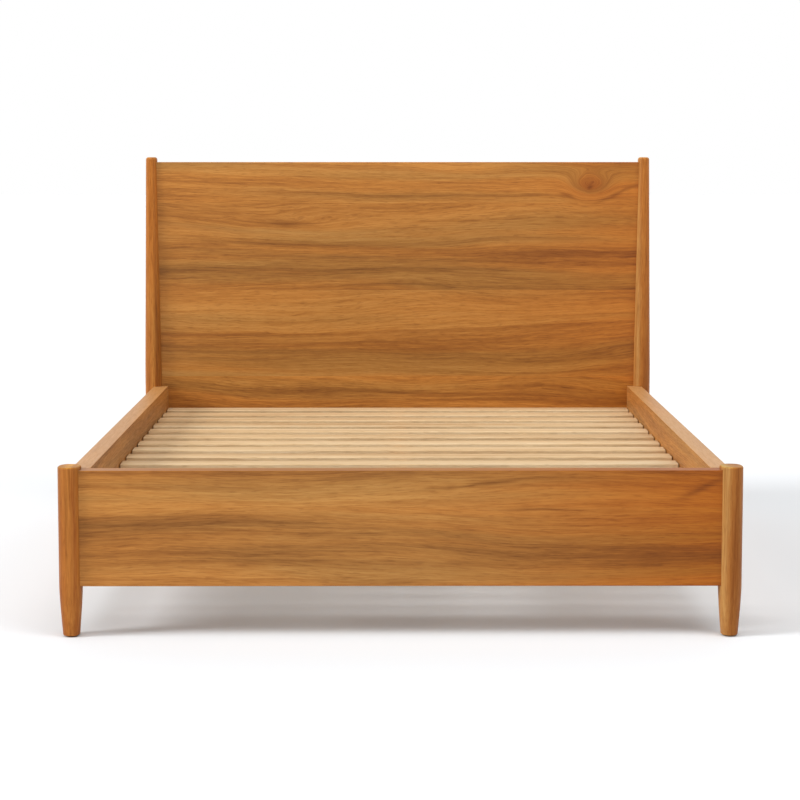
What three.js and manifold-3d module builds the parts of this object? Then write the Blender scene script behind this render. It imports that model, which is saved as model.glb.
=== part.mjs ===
// Platform bed frame in wood for a 1524 x 2032 mm mattress, as its separate pieces.
// Millimetres. X runs across the bed, +Y towards the head, +Z up.
// The origin is on the floor, under the bed's centre.
import * as THREE from "three";
import { mergeVertices } from "three/addons/utils/BufferGeometryUtils.js";
import Module from "manifold-3d";

const wasm = await Module();
wasm.setup();

// ---- Driving dimensions ---------------------------------------------------------------------

const GAP = 0.3; // clearance kept between pieces that touch

// Corner posts: an oval section, widest at the rails, tapering to the floor and, at the head, to the top.
const POST_X = 819;
const POST_Y = 1042;
const POST_HALF_WIDTH = 28.5;
const POST_HALF_DEPTH = 41;
const OVAL_POWER = 2.4; // 2 is an ellipse, higher is squarer
const POST_SEGMENTS = 40;
const LEG_TAPER_Z = 125;
const LEG_TAPER_POWER = 1.3;
const LEG_TIP_HALF_WIDTH = 20.2;
const LEG_TIP_EASE = 2;
const FOOT_POST_TOP_Z = 426;
const FOOT_POST_EASE = 4.5;
const HEAD_POST_TOP_Z = 1181;
const HEAD_POST_EASE = 8;
const HEAD_TAPER_Z = 476;
const HEAD_TIP_HALF_WIDTH = 18.5;

// Nail-on glides under the posts.
const GLIDE_HEIGHT = 3;
const GLIDE_RADIUS = 17;
const GLIDE_BEVEL = 0.8;

// Panels and side rails share one underside and, except for the headboard, one top.
const RAIL_BOTTOM_Z = 128;
const RAIL_TOP_Z = 417;
const RAIL_OUTER_X = 818;
const RAIL_THICKNESS = 48;
const FOOTBOARD_THICKNESS = 48;
const FOOTBOARD_END_X = 806;
const HEADBOARD_THICKNESS = 30;
const HEADBOARD_END_X = 808;
const HEADBOARD_TOP_Z = 1165;
const PANEL_EASE = 2;

// Slats and what carries them.
const SLAT_COUNT = 14;
const SLAT_WIDTH = 75;
const SLAT_THICKNESS = 19;
const SLAT_EASE = 4;
const SLAT_TOP_Z = 345;
const SLAT_END_GAP = 3;
const SLAT_FIRST_GAP = 10; // from a panel to the nearest slat
const STRAP_X = 380;
const STRAP_WIDTH = 25;
const STRAP_THICKNESS = 1.5;
const LEDGER_HEIGHT = 40;
const LEDGER_WIDTH = 25;
const LEDGER_END_GAP = 8;
const BEAM_WIDTH = 45;
const BEAM_HEIGHT = 70;
const BEAM_EASE = 3;

// Steel stirrup that holds each end of the centre beam.
const STIRRUP_SHEET = 2.5;
const STIRRUP_DEPTH = 45;
const STIRRUP_SIDE_HEIGHT = 50;
const STIRRUP_FLANGE_WIDTH = 110;
const STIRRUP_HOLE_SHARES = [0.3, 0.7]; // of the stirrup's height

// Steel angle in each corner, with two bolts into the panel.
const ANGLE_SHEET = 3;
const ANGLE_LEG = 60;
const ANGLE_BOTTOM_Z = 150;
const ANGLE_HEIGHT = 120;
const ANGLE_HOLE_INSET = 34; // from the corner to the holes
const ANGLE_HOLE_SPACING = 64;
const SCREW_HOLE_RADIUS = 3;
const BOLT_RADIUS = 4;
const BOLT_HEAD_RADIUS = 8;
const BOLT_HEAD_HEIGHT = 4.5;
const BOLT_SOCKET_RADIUS = 3;
const BOLT_SOCKET_DEPTH = 2.5;
const FOOT_BOLT_REACH = 34;
const HEAD_BOLT_REACH = 21;

// Centre legs with screw levellers.
const LEG_Y = 340;
const LEG_SIDE = 45;
const LEG_EASE = 5;
const LEG_BOTTOM_Z = 35;
const LEG_PLATE_WIDTH = 44;
const LEG_PLATE_LENGTH = 110;
const LEG_PLATE_THICKNESS = 3;
const LEG_PLATE_CORNER = 6;
const LEG_PLATE_HOLE_X = 12;
const LEG_PLATE_HOLE_Y = 44;
const PAD_RADIUS = 22;
const PAD_HEIGHT = 10;
const PAD_RIM_HEIGHT = 4;
const PAD_NECK_RADIUS = 11;
const PAD_NECK_Z = 8;
const PAD_BEVEL = 1;
const PAD_SHOULDER = 2; // how far the pad's upper slopes step in and up
const PAD_SOCKET_Z = 4;
const STEM_RADIUS = 4;
const STEM_BEVEL = 1;
const STEM_TOP_Z = 74;
const STEM_HEX_RADIUS = 7.5;
const STEM_HEX_Z = 11;
const STEM_HEX_HEIGHT = 6;
const LEVELLER_TRAVEL = 15;
const LEVELLER_SPARE_DEPTH = 5; // bore left above the stem at full travel
const INSERT_FLANGE_RADIUS = 11;
const INSERT_FLANGE_THICKNESS = 2;
const INSERT_SLEEVE_RADIUS = 6.5;
const INSERT_SLEEVE_LENGTH = 15;

// Facets of round pieces.
const ROD_FACETS = 16;
const HOLE_FACETS = 12;
const TURNED_FACETS = 24;
const HEX_FACETS = 6;
const CUT_PAST = 1; // how far a cutting shape reaches past the face it cuts

// ---- Dimensions that follow -----------------------------------------------------------------

const RAIL_INNER_X = RAIL_OUTER_X - RAIL_THICKNESS;
const RAIL_HEIGHT = RAIL_TOP_Z - RAIL_BOTTOM_Z;
const FOOT_FACE_Y = -POST_Y + FOOTBOARD_THICKNESS / 2; // footboard's face towards the mattress
const HEAD_FACE_Y = POST_Y - HEADBOARD_THICKNESS / 2; // headboard's face towards the mattress
const BED_LENGTH = HEAD_FACE_Y - FOOT_FACE_Y;
const BED_MIDDLE_Y = (HEAD_FACE_Y + FOOT_FACE_Y) / 2;
const POST_BOTTOM_Z = GLIDE_HEIGHT + GAP;
const SUPPORT_TOP_Z = SLAT_TOP_Z - SLAT_THICKNESS - GAP;
const BEAM_BOTTOM_Z = SUPPORT_TOP_Z - BEAM_HEIGHT;
const LEG_PLATE_TOP_Z = BEAM_BOTTOM_Z - GAP;
const LEG_TOP_Z = LEG_PLATE_TOP_Z - LEG_PLATE_THICKNESS - GAP;
const SIDES = [
  { name: "left", x: -1 },
  { name: "right", x: 1 },
];
const ENDS = [
  { name: "foot", y: -1, faceY: FOOT_FACE_Y, boltReach: FOOT_BOLT_REACH },
  { name: "head", y: 1, faceY: HEAD_FACE_Y, boltReach: HEAD_BOLT_REACH },
];

// ---- Materials ------------------------------------------------------------------------------

const material = (color, roughness, metalness = 0) =>
  new THREE.MeshStandardMaterial({ color, roughness, metalness });
const panelWood = () => material(0xb2763c, 0.5);
const postWood = () => material(0xae7038, 0.5);
const slatWood = () => material(0xcfae80, 0.7);
const beamWood = () => material(0xc8a271, 0.7);
const zincSteel = () => material(0xb4b6b8, 0.4, 1);
const blackSteel = () => material(0x2b2c2e, 0.5, 0.6);
const blackPlastic = () => material(0x242424, 0.6);
const webbing = () => material(0xe4ded2, 0.9);

// ---- Solid tools ----------------------------------------------------------------------------

function toSolid(geometry) {
  const bare = geometry.clone();
  bare.deleteAttribute("normal");
  bare.deleteAttribute("uv");
  const merged = mergeVertices(bare, 1e-3);
  return new wasm.Manifold(
    new wasm.Mesh({
      numProp: 3,
      vertProperties: merged.attributes.position.array,
      triVerts: new Uint32Array(merged.index.array),
    }),
  );
}

function toGeometry(solid) {
  const mesh = solid.getMesh();
  const geometry = new THREE.BufferGeometry();
  geometry.setAttribute("position", new THREE.BufferAttribute(mesh.vertProperties, 3));
  geometry.setIndex(new THREE.BufferAttribute(mesh.triVerts, 1));
  geometry.computeVertexNormals();
  return geometry;
}

function cut(geometry, tools) {
  const whole = toSolid(geometry);
  return toGeometry(tools.reduce((rest, tool) => rest.subtract(toSolid(tool)), whole));
}

function join(geometries) {
  const solids = geometries.map(toSolid);
  return toGeometry(solids.reduce((whole, next) => whole.add(next)));
}

// A box given by its lowest and highest corners, in any order.
function boxBetween(a, b) {
  const size = [0, 1, 2].map((i) => Math.abs(b[i] - a[i]));
  const middle = [0, 1, 2].map((i) => (a[i] + b[i]) / 2);
  return new THREE.BoxGeometry(...size).translate(...middle);
}

// A straight bar centred on the origin: its section is width by height, with rounded edges.
function easedBar(width, height, length, ease, segments = 2) {
  const x = width / 2 - ease;
  const y = height / 2 - ease;
  const section = new THREE.Shape();
  section.absarc(x, y, ease, 0, Math.PI / 2);
  section.absarc(-x, y, ease, Math.PI / 2, Math.PI);
  section.absarc(-x, -y, ease, Math.PI, 1.5 * Math.PI);
  section.absarc(x, -y, ease, 1.5 * Math.PI, 2 * Math.PI);
  section.closePath();
  const bar = new THREE.ExtrudeGeometry(section, {
    depth: length,
    bevelEnabled: false,
    curveSegments: segments,
  });
  return bar.translate(0, 0, -length / 2);
}

const alongX = (bar) => bar.rotateX(Math.PI / 2).rotateZ(Math.PI / 2);
const alongY = (bar) => bar.rotateX(Math.PI / 2);

// Round bars between two places along one axis, for bolts and for holes.
function rodAlongY(radius, y0, y1, x, z, facets = ROD_FACETS) {
  const rod = new THREE.CylinderGeometry(radius, radius, Math.abs(y1 - y0), facets);
  return rod.translate(x, (y0 + y1) / 2, z);
}

function rodAlongX(radius, x0, x1, y, z, facets = ROD_FACETS) {
  const rod = new THREE.CylinderGeometry(radius, radius, Math.abs(x1 - x0), facets);
  return rod.rotateZ(Math.PI / 2).translate((x0 + x1) / 2, y, z);
}

function rodAlongZ(radius, z0, z1, x, y, facets = ROD_FACETS) {
  const rod = new THREE.CylinderGeometry(radius, radius, Math.abs(z1 - z0), facets);
  return rod.rotateX(Math.PI / 2).translate(x, y, (z0 + z1) / 2);
}

// A turned shape about the Z axis from [radius, z] pairs.
function turned(profile, facets = TURNED_FACETS) {
  const points = profile.map(([radius, z]) => new THREE.Vector2(radius, z));
  return new THREE.LatheGeometry(points, facets).rotateX(Math.PI / 2);
}

const bed = new THREE.Group();

function place(name, geometry, surface, x = 0, y = 0, z = 0) {
  const mesh = new THREE.Mesh(geometry, surface);
  mesh.name = name;
  mesh.position.set(x, y, z);
  bed.add(mesh);
}

// ---- Corner posts ---------------------------------------------------------------------------

const LEG_RINGS = 5; // steps in the curve of the leg
const EASE_RINGS = 3; // steps in the rounding of the top

const legTaper = (z) => {
  const share = Math.max(0, 1 - z / LEG_TAPER_Z);
  return (POST_HALF_WIDTH - LEG_TIP_HALF_WIDTH) * share ** LEG_TAPER_POWER;
};

const headTaper = (z) => {
  const share = Math.max(0, (z - HEAD_TAPER_Z) / (HEAD_POST_TOP_Z - HEAD_TAPER_Z));
  return (POST_HALF_WIDTH - HEAD_TIP_HALF_WIDTH) * share;
};

function postProfile(end) {
  const top = end.name === "head" ? HEAD_POST_TOP_Z : FOOT_POST_TOP_Z;
  const ease = end.name === "head" ? HEAD_POST_EASE : FOOT_POST_EASE;
  const halfWidth = (z) => POST_HALF_WIDTH - legTaper(z) - (end.name === "head" ? headTaper(z) : 0);
  const tip = halfWidth(POST_BOTTOM_Z);
  const profile = [
    [0, POST_BOTTOM_Z],
    [tip - LEG_TIP_EASE, POST_BOTTOM_Z],
    [halfWidth(POST_BOTTOM_Z + LEG_TIP_EASE), POST_BOTTOM_Z + LEG_TIP_EASE],
  ];
  for (let ring = 1; ring <= LEG_RINGS; ring++) {
    const z = (ring * LEG_TAPER_Z) / LEG_RINGS;
    profile.push([halfWidth(z), z]);
  }
  if (end.name === "head") {
    profile.push([halfWidth(HEAD_TAPER_Z), HEAD_TAPER_Z]);
  }
  const shoulder = halfWidth(top - ease);
  for (let ring = 0; ring <= EASE_RINGS; ring++) {
    const angle = ((ring / EASE_RINGS) * Math.PI) / 2;
    profile.push([shoulder - ease * (1 - Math.cos(angle)), top - ease * (1 - Math.sin(angle))]);
  }
  profile.push([0, top]);
  return profile;
}

// Turns a round section into the posts' oval.
function makeOval(geometry) {
  const position = geometry.getAttribute("position");
  const squared = (value) => Math.sign(value) * Math.abs(value) ** (2 / OVAL_POWER);
  for (let i = 0; i < position.count; i++) {
    const x = position.getX(i);
    const y = position.getY(i);
    const radius = Math.hypot(x, y);
    const angle = Math.atan2(y, x);
    position.setX(i, radius * squared(Math.cos(angle)));
    position.setY(i, (radius * squared(Math.sin(angle)) * POST_HALF_DEPTH) / POST_HALF_WIDTH);
  }
  return geometry;
}

// The groove for the panel's end and the housing for the rail's end, in the post's own frame.
function postCuts(side, end) {
  const panelHalf = (end.name === "head" ? HEADBOARD_THICKNESS : FOOTBOARD_THICKNESS) / 2 + GAP;
  const panelTop = (end.name === "head" ? HEADBOARD_TOP_Z : RAIL_TOP_Z) + GAP;
  const panelEnd = (end.name === "head" ? HEADBOARD_END_X : FOOTBOARD_END_X) + GAP - POST_X;
  const railEnd = RAIL_OUTER_X + GAP - POST_X;
  const bottom = RAIL_BOTTOM_Z - GAP;
  const clear = 2 * POST_HALF_WIDTH;
  const inward = -side.x * clear;
  const towardsBed = -end.y * clear;
  return [
    boxBetween([inward, -panelHalf, bottom], [side.x * panelEnd, panelHalf, panelTop]),
    boxBetween([inward, 0, bottom], [side.x * railEnd, towardsBed, RAIL_TOP_Z + GAP]),
  ];
}

function buildPosts() {
  for (const end of ENDS) {
    for (const side of SIDES) {
      const shape = makeOval(turned(postProfile(end), POST_SEGMENTS));
      const post = cut(shape, postCuts(side, end));
      place(`${end.name}_post_${side.name}`, post, postWood(), side.x * POST_X, end.y * POST_Y);
    }
  }
}

function buildGlides() {
  const profile = [
    [0, 0],
    [GLIDE_RADIUS - GLIDE_BEVEL, 0],
    [GLIDE_RADIUS, GLIDE_BEVEL],
    [GLIDE_RADIUS, GLIDE_HEIGHT],
    [0, GLIDE_HEIGHT],
  ];
  for (const end of ENDS) {
    for (const side of SIDES) {
      const name = `post_glide_${end.name}_${side.name}`;
      place(name, turned(profile), blackPlastic(), side.x * POST_X, end.y * POST_Y);
    }
  }
}

// ---- Panels and rails -----------------------------------------------------------------------

const BOLT_X = RAIL_INNER_X - GAP - ANGLE_HOLE_INSET;
const ANGLE_MIDDLE_Z = ANGLE_BOTTOM_Z + ANGLE_HEIGHT / 2;
const BOLT_LEVELS = [
  { name: "lower", z: ANGLE_MIDDLE_Z - ANGLE_HOLE_SPACING / 2 },
  { name: "upper", z: ANGLE_MIDDLE_Z + ANGLE_HOLE_SPACING / 2 },
];

function panelBoltHoles(end) {
  const mouth = end.faceY - end.y * CUT_PAST;
  const bottom = end.faceY + end.y * (end.boltReach + GAP);
  return SIDES.flatMap((side) =>
    BOLT_LEVELS.map(({ z }) => rodAlongY(BOLT_RADIUS + GAP, mouth, bottom, side.x * BOLT_X, z)),
  );
}

function buildPanel(end, thickness, endX, topZ) {
  const board = alongX(easedBar(thickness, topZ - RAIL_BOTTOM_Z, 2 * endX, PANEL_EASE));
  board.translate(0, end.y * POST_Y, (topZ + RAIL_BOTTOM_Z) / 2);
  return cut(board, panelBoltHoles(end));
}

function buildPanels() {
  const [foot, head] = ENDS;
  const footboard = buildPanel(foot, FOOTBOARD_THICKNESS, FOOTBOARD_END_X, RAIL_TOP_Z);
  const headboard = buildPanel(head, HEADBOARD_THICKNESS, HEADBOARD_END_X, HEADBOARD_TOP_Z);
  place("footboard_panel", footboard, panelWood());
  place("headboard_panel", headboard, panelWood());
}

function buildRails() {
  const length = BED_LENGTH - 2 * GAP;
  const middleZ = (RAIL_TOP_Z + RAIL_BOTTOM_Z) / 2;
  for (const side of SIDES) {
    const rail = alongY(easedBar(RAIL_THICKNESS, RAIL_HEIGHT, length, PANEL_EASE));
    const x = side.x * (RAIL_OUTER_X - RAIL_THICKNESS / 2);
    place(`side_rail_${side.name}`, rail, panelWood(), x, BED_MIDDLE_Y, middleZ);
  }
}

// ---- Corner angles and their bolts ----------------------------------------------------------

function buildCornerAngle(side, end) {
  const railFace = side.x * (RAIL_INNER_X - GAP);
  const panelFace = end.faceY - end.y * GAP;
  const inX = (distance) => railFace - side.x * distance;
  const inY = (distance) => panelFace - end.y * distance;
  const through = ANGLE_SHEET + CUT_PAST;
  const heel = [railFace, panelFace, ANGLE_BOTTOM_Z];
  const top = ANGLE_BOTTOM_Z + ANGLE_HEIGHT;
  const railLeg = boxBetween(heel, [inX(ANGLE_SHEET), inY(ANGLE_LEG), top]);
  const panelLeg = boxBetween(heel, [inX(ANGLE_LEG), inY(ANGLE_SHEET), top]);
  const holes = BOLT_LEVELS.flatMap(({ z }) => [
    rodAlongY(BOLT_RADIUS + GAP, inY(-CUT_PAST), inY(through), side.x * BOLT_X, z),
    rodAlongX(SCREW_HOLE_RADIUS, inX(-CUT_PAST), inX(through), inY(ANGLE_HOLE_INSET), z, HOLE_FACETS),
  ]);
  return cut(join([railLeg, panelLeg]), holes);
}

// A socket-head bolt pointing along +Y, with the underside of its head at the origin.
function boltShape(reach) {
  const headY = -BOLT_HEAD_HEIGHT;
  const socketFloorY = headY + BOLT_SOCKET_DEPTH;
  const head = rodAlongY(BOLT_HEAD_RADIUS, headY, 0, 0, 0, TURNED_FACETS);
  const shank = rodAlongY(BOLT_RADIUS, -CUT_PAST, reach, 0, 0);
  const socket = rodAlongY(BOLT_SOCKET_RADIUS, headY - CUT_PAST, socketFloorY, 0, 0, HEX_FACETS);
  return cut(join([head, shank]), [socket]);
}

function buildCorners() {
  for (const end of ENDS) {
    for (const side of SIDES) {
      const corner = `${end.name}_${side.name}`;
      place(`corner_angle_${corner}`, buildCornerAngle(side, end), zincSteel());
      for (const level of BOLT_LEVELS) {
        const bolt = boltShape(end.boltReach + ANGLE_SHEET);
        if (end.y < 0) {
          bolt.rotateZ(Math.PI);
        }
        const seatY = end.faceY - end.y * (ANGLE_SHEET + 2 * GAP);
        place(`rail_bolt_${corner}_${level.name}`, bolt, blackSteel(), side.x * BOLT_X, seatY, level.z);
      }
    }
  }
}

// ---- Slats, ledgers and straps --------------------------------------------------------------

const SLAT_SPAN = BED_LENGTH - 2 * SLAT_FIRST_GAP;
const SLAT_PITCH = (SLAT_SPAN - SLAT_WIDTH) / (SLAT_COUNT - 1);

function buildSlats() {
  const length = 2 * (RAIL_INNER_X - SLAT_END_GAP);
  const firstY = FOOT_FACE_Y + SLAT_FIRST_GAP + SLAT_WIDTH / 2;
  for (let i = 0; i < SLAT_COUNT; i++) {
    const slat = alongX(easedBar(SLAT_WIDTH, SLAT_THICKNESS, length, SLAT_EASE));
    const name = `slat_${String(i + 1).padStart(2, "0")}`;
    place(name, slat, slatWood(), 0, firstY + i * SLAT_PITCH, SLAT_TOP_Z - SLAT_THICKNESS / 2);
  }
}

// The straps run under the slats, so that the slats' tops stay flat.
function buildStraps() {
  const z = SLAT_TOP_Z - SLAT_THICKNESS - GAP - STRAP_THICKNESS / 2;
  for (const side of SIDES) {
    const strap = new THREE.BoxGeometry(STRAP_WIDTH, SLAT_SPAN, STRAP_THICKNESS);
    place(`slat_strap_${side.name}`, strap, webbing(), side.x * STRAP_X, BED_MIDDLE_Y, z);
  }
}

function buildLedgers() {
  const length = BED_LENGTH - 2 * LEDGER_END_GAP;
  const z = SUPPORT_TOP_Z - LEDGER_HEIGHT / 2;
  for (const side of SIDES) {
    const ledger = alongY(easedBar(LEDGER_WIDTH, LEDGER_HEIGHT, length, BEAM_EASE));
    const x = side.x * (RAIL_INNER_X - GAP - LEDGER_WIDTH / 2);
    place(`slat_ledger_${side.name}`, ledger, beamWood(), x, BED_MIDDLE_Y, z);
  }
}

// ---- Centre beam and its stirrups -----------------------------------------------------------

function buildBeam() {
  const endClearance = STIRRUP_SHEET + 2 * GAP;
  const beam = alongY(easedBar(BEAM_WIDTH, BEAM_HEIGHT, BED_LENGTH - 2 * endClearance, BEAM_EASE));
  place("centre_beam", beam, beamWood(), 0, BED_MIDDLE_Y, SUPPORT_TOP_Z - BEAM_HEIGHT / 2);
}

function buildStirrup(end) {
  const wall = end.faceY - end.y * GAP;
  const mouth = wall - end.y * STIRRUP_DEPTH;
  const inner = BEAM_WIDTH / 2 + GAP;
  const outer = inner + STIRRUP_SHEET;
  const seatTop = BEAM_BOTTOM_Z - GAP;
  const seatBottom = seatTop - STIRRUP_SHEET;
  const sideTop = seatTop + STIRRUP_SIDE_HEIGHT;
  const flangeFront = wall - end.y * STIRRUP_SHEET;
  const half = STIRRUP_FLANGE_WIDTH / 2;
  const flange = boxBetween([-half, wall, seatBottom], [half, flangeFront, sideTop]);
  const seat = boxBetween([-outer, wall, seatBottom], [outer, mouth, seatTop]);
  const cheeks = SIDES.map((side) =>
    boxBetween([side.x * inner, wall, seatBottom], [side.x * outer, mouth, sideTop]),
  );
  const past = end.y * CUT_PAST;
  const holes = SIDES.flatMap((side) =>
    STIRRUP_HOLE_SHARES.map((share) => {
      const z = seatBottom + share * (sideTop - seatBottom);
      const x = (side.x * (outer + half)) / 2;
      return rodAlongY(SCREW_HOLE_RADIUS, wall + past, flangeFront - past, x, z, HOLE_FACETS);
    }),
  );
  return cut(join([flange, seat, ...cheeks]), holes);
}

function buildStirrups() {
  for (const end of ENDS) {
    place(`beam_stirrup_${end.name}`, buildStirrup(end), zincSteel());
  }
}

// ---- Centre legs and levellers --------------------------------------------------------------

// A plate as wide as the beam, with two screw holes on each side of the leg.
function buildLegPlate() {
  const plate = easedBar(LEG_PLATE_WIDTH, LEG_PLATE_LENGTH, LEG_PLATE_THICKNESS, LEG_PLATE_CORNER);
  const reach = LEG_PLATE_THICKNESS / 2 + CUT_PAST;
  const holes = SIDES.flatMap((side) =>
    ENDS.map((end) => {
      const x = side.x * LEG_PLATE_HOLE_X;
      const y = end.y * LEG_PLATE_HOLE_Y;
      return rodAlongZ(SCREW_HOLE_RADIUS, -reach, reach, x, y, HOLE_FACETS);
    }),
  );
  return cut(plate, holes);
}

// Leg from its own bottom face at Z = 0, bored from below for the insert and the stem.
function buildLeg() {
  const height = LEG_TOP_Z - LEG_BOTTOM_Z;
  const block = easedBar(LEG_SIDE, LEG_SIDE, height, LEG_EASE).translate(0, 0, height / 2);
  const insertBore = INSERT_SLEEVE_RADIUS + GAP;
  const stemBore = STEM_RADIUS + GAP;
  const sleeveTop = INSERT_SLEEVE_LENGTH + GAP;
  const stemBoreTop = STEM_TOP_Z - LEG_BOTTOM_Z + LEVELLER_TRAVEL + LEVELLER_SPARE_DEPTH;
  const bore = turned([
    [0, -CUT_PAST],
    [insertBore, -CUT_PAST],
    [insertBore, sleeveTop],
    [stemBore, sleeveTop],
    [stemBore, stemBoreTop],
    [0, stemBoreTop],
  ]);
  return cut(block, [bore]);
}

// A ring threaded inside, with a flange under the leg: Z = 0 is the leg's bottom face.
function buildInsert() {
  const bore = STEM_RADIUS + GAP;
  const flangeBottom = -GAP - INSERT_FLANGE_THICKNESS;
  return turned([
    [bore, flangeBottom],
    [INSERT_FLANGE_RADIUS, flangeBottom],
    [INSERT_FLANGE_RADIUS, -GAP],
    [INSERT_SLEEVE_RADIUS, -GAP],
    [INSERT_SLEEVE_RADIUS, INSERT_SLEEVE_LENGTH],
    [bore, INSERT_SLEEVE_LENGTH],
    [bore, flangeBottom],
  ]);
}

// A foot that swivels on the stem's lower end.
function buildPad() {
  const socket = STEM_RADIUS + 2 * GAP;
  return turned([
    [0, 0],
    [PAD_RADIUS - PAD_BEVEL, 0],
    [PAD_RADIUS, PAD_BEVEL],
    [PAD_RADIUS, PAD_RIM_HEIGHT],
    [PAD_RADIUS - PAD_SHOULDER, PAD_RIM_HEIGHT + PAD_SHOULDER],
    [PAD_NECK_RADIUS, PAD_NECK_Z],
    [PAD_NECK_RADIUS - PAD_SHOULDER, PAD_HEIGHT],
    [socket, PAD_HEIGHT],
    [socket, PAD_SOCKET_Z],
    [0, PAD_SOCKET_Z],
  ]);
}

function buildStem() {
  const bottom = PAD_SOCKET_Z + GAP;
  const tip = STEM_RADIUS - STEM_BEVEL;
  const rod = turned(
    [
      [0, bottom],
      [tip, bottom],
      [STEM_RADIUS, bottom + STEM_BEVEL],
      [STEM_RADIUS, STEM_TOP_Z - STEM_BEVEL],
      [tip, STEM_TOP_Z],
      [0, STEM_TOP_Z],
    ],
    ROD_FACETS,
  );
  const hexTop = STEM_HEX_Z + STEM_HEX_HEIGHT;
  const hex = rodAlongZ(STEM_HEX_RADIUS, STEM_HEX_Z, hexTop, 0, 0, HEX_FACETS);
  return join([rod, hex]);
}

function buildCentreLegs() {
  for (const end of ENDS) {
    const y = end.y * LEG_Y;
    const plateZ = LEG_PLATE_TOP_Z - LEG_PLATE_THICKNESS / 2;
    place(`leg_plate_${end.name}`, buildLegPlate(), zincSteel(), 0, y, plateZ);
    place(`centre_leg_${end.name}`, buildLeg(), beamWood(), 0, y, LEG_BOTTOM_Z);
    place(`leg_insert_${end.name}`, buildInsert(), zincSteel(), 0, y, LEG_BOTTOM_Z);
    place(`leveller_stem_${end.name}`, buildStem(), zincSteel(), 0, y);
    place(`leveller_pad_${end.name}`, buildPad(), blackPlastic(), 0, y);
  }
}

buildPosts();
buildGlides();
buildPanels();
buildRails();
buildCorners();
buildSlats();
buildStraps();
buildLedgers();
buildBeam();
buildStirrups();
buildCentreLegs();

export default bed;
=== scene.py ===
import math
from dataclasses import dataclass

import bmesh
import bpy
from mathutils import Euler, Matrix, Vector


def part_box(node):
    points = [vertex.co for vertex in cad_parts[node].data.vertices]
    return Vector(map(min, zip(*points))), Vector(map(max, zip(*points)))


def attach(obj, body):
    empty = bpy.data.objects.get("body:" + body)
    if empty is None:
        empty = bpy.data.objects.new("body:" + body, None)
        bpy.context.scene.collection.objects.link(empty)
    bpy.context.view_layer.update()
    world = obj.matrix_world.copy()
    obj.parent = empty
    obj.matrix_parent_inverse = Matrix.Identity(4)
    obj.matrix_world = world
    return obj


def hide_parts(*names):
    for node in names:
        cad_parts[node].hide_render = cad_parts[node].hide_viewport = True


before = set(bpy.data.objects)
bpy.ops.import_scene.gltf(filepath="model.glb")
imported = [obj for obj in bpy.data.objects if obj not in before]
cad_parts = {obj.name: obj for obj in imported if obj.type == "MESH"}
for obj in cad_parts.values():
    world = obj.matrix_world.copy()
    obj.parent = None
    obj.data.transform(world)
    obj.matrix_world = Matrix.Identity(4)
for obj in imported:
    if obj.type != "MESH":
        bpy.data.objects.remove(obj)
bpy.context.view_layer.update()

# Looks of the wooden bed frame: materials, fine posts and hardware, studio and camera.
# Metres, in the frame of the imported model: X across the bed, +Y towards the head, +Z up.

BODY = "bed_frame"
# The play between pieces that fit together.
GAP = 0.0003
# How far each material's edges are rounded. The panels' and rails' CAD edges stay.
EDGE_ROUNDING = {"slat": 0.0010, "ledger": 0.0010, "leg": 0.0015, "zinc_steel": 0.0003}
# How far a cutter runs past the face that it cuts.
CUT_REACH = 0.01

SIDES = {"left": -1, "right": 1}
ENDS = {"foot": -1, "head": 1}
LEVELS = ("lower", "upper")
CORNERS = [(end, side) for end in ENDS for side in SIDES]
SLATS = [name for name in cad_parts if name.startswith("slat_") and name[5:].isdigit()]

# ---- Driving sizes ----

# Corner posts, as the CAD makes them: an oval that tapers down the leg and up the headboard.
OVAL_POWER = 2.4
POST_FACETS = 128
LEG_TAPER_Z = 0.125
LEG_TAPER_POWER = 1.3
LEG_TIP_HALF_WIDTH = 0.0202
LEG_TIP_EASE = 0.002
HEAD_TAPER_Z = 0.476
HEAD_TIP_HALF_WIDTH = 0.0185
TOP_EASE = {"foot": 0.0045, "head": 0.008}
# The rail's housing runs out of the post's inner side.
HOUSING_RUN_OUT = 0.1
TIP_STEPS = 4
TAPER_STEPS = 16
SHAFT_STEPS = 24
TOP_STEPS = 8


# ---- Shader helpers ----


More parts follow.
